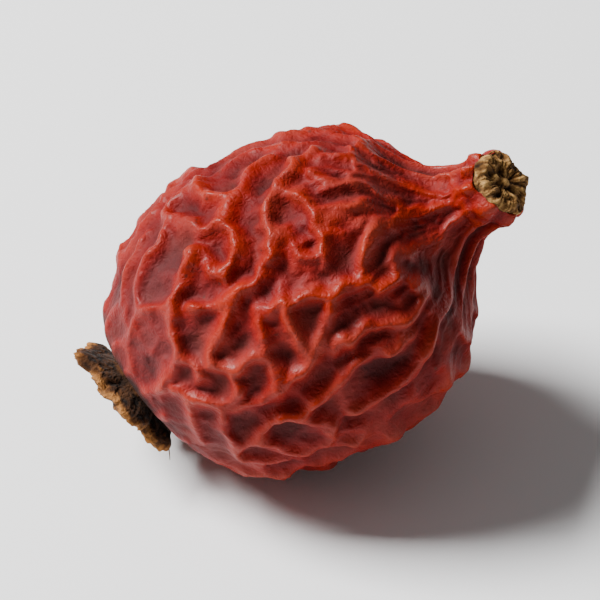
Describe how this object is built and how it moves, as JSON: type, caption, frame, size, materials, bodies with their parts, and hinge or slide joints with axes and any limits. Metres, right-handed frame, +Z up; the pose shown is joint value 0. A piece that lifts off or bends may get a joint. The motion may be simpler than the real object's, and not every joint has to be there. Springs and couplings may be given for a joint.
{
  "type": "dried rose hip",
  "caption": "Shrivelled rose hip with a raised net of skin folds, a torn calyx plate at one end and a broken stalk stub on its short neck.",
  "frame": {"origin": "middle of the bounding box at the level of the flat spot that the fruit rests on", "axes": "+X towards the neck end, along the level run of the fruit's tipped axis; +Z up from the surface it lies on; -Y is the near side in the picture"},
  "size_m": [0.0176, 0.0134, 0.0138],
  "materials": {
    "fruit_skin": "semi-gloss waxy dried skin",
    "dry_calyx": "matt, dry and fibrous",
    "dry_styles": "matt, dry and hairy",
    "dry_stalk": "matt, dry and fibrous"
  },
  "bodies": {
    "root": {"hip": "fruit_skin", "calyx": "dry_calyx", "style_tuft": "dry_styles", "stalk_stub": "dry_stalk"}
  },
  "joints": []
}
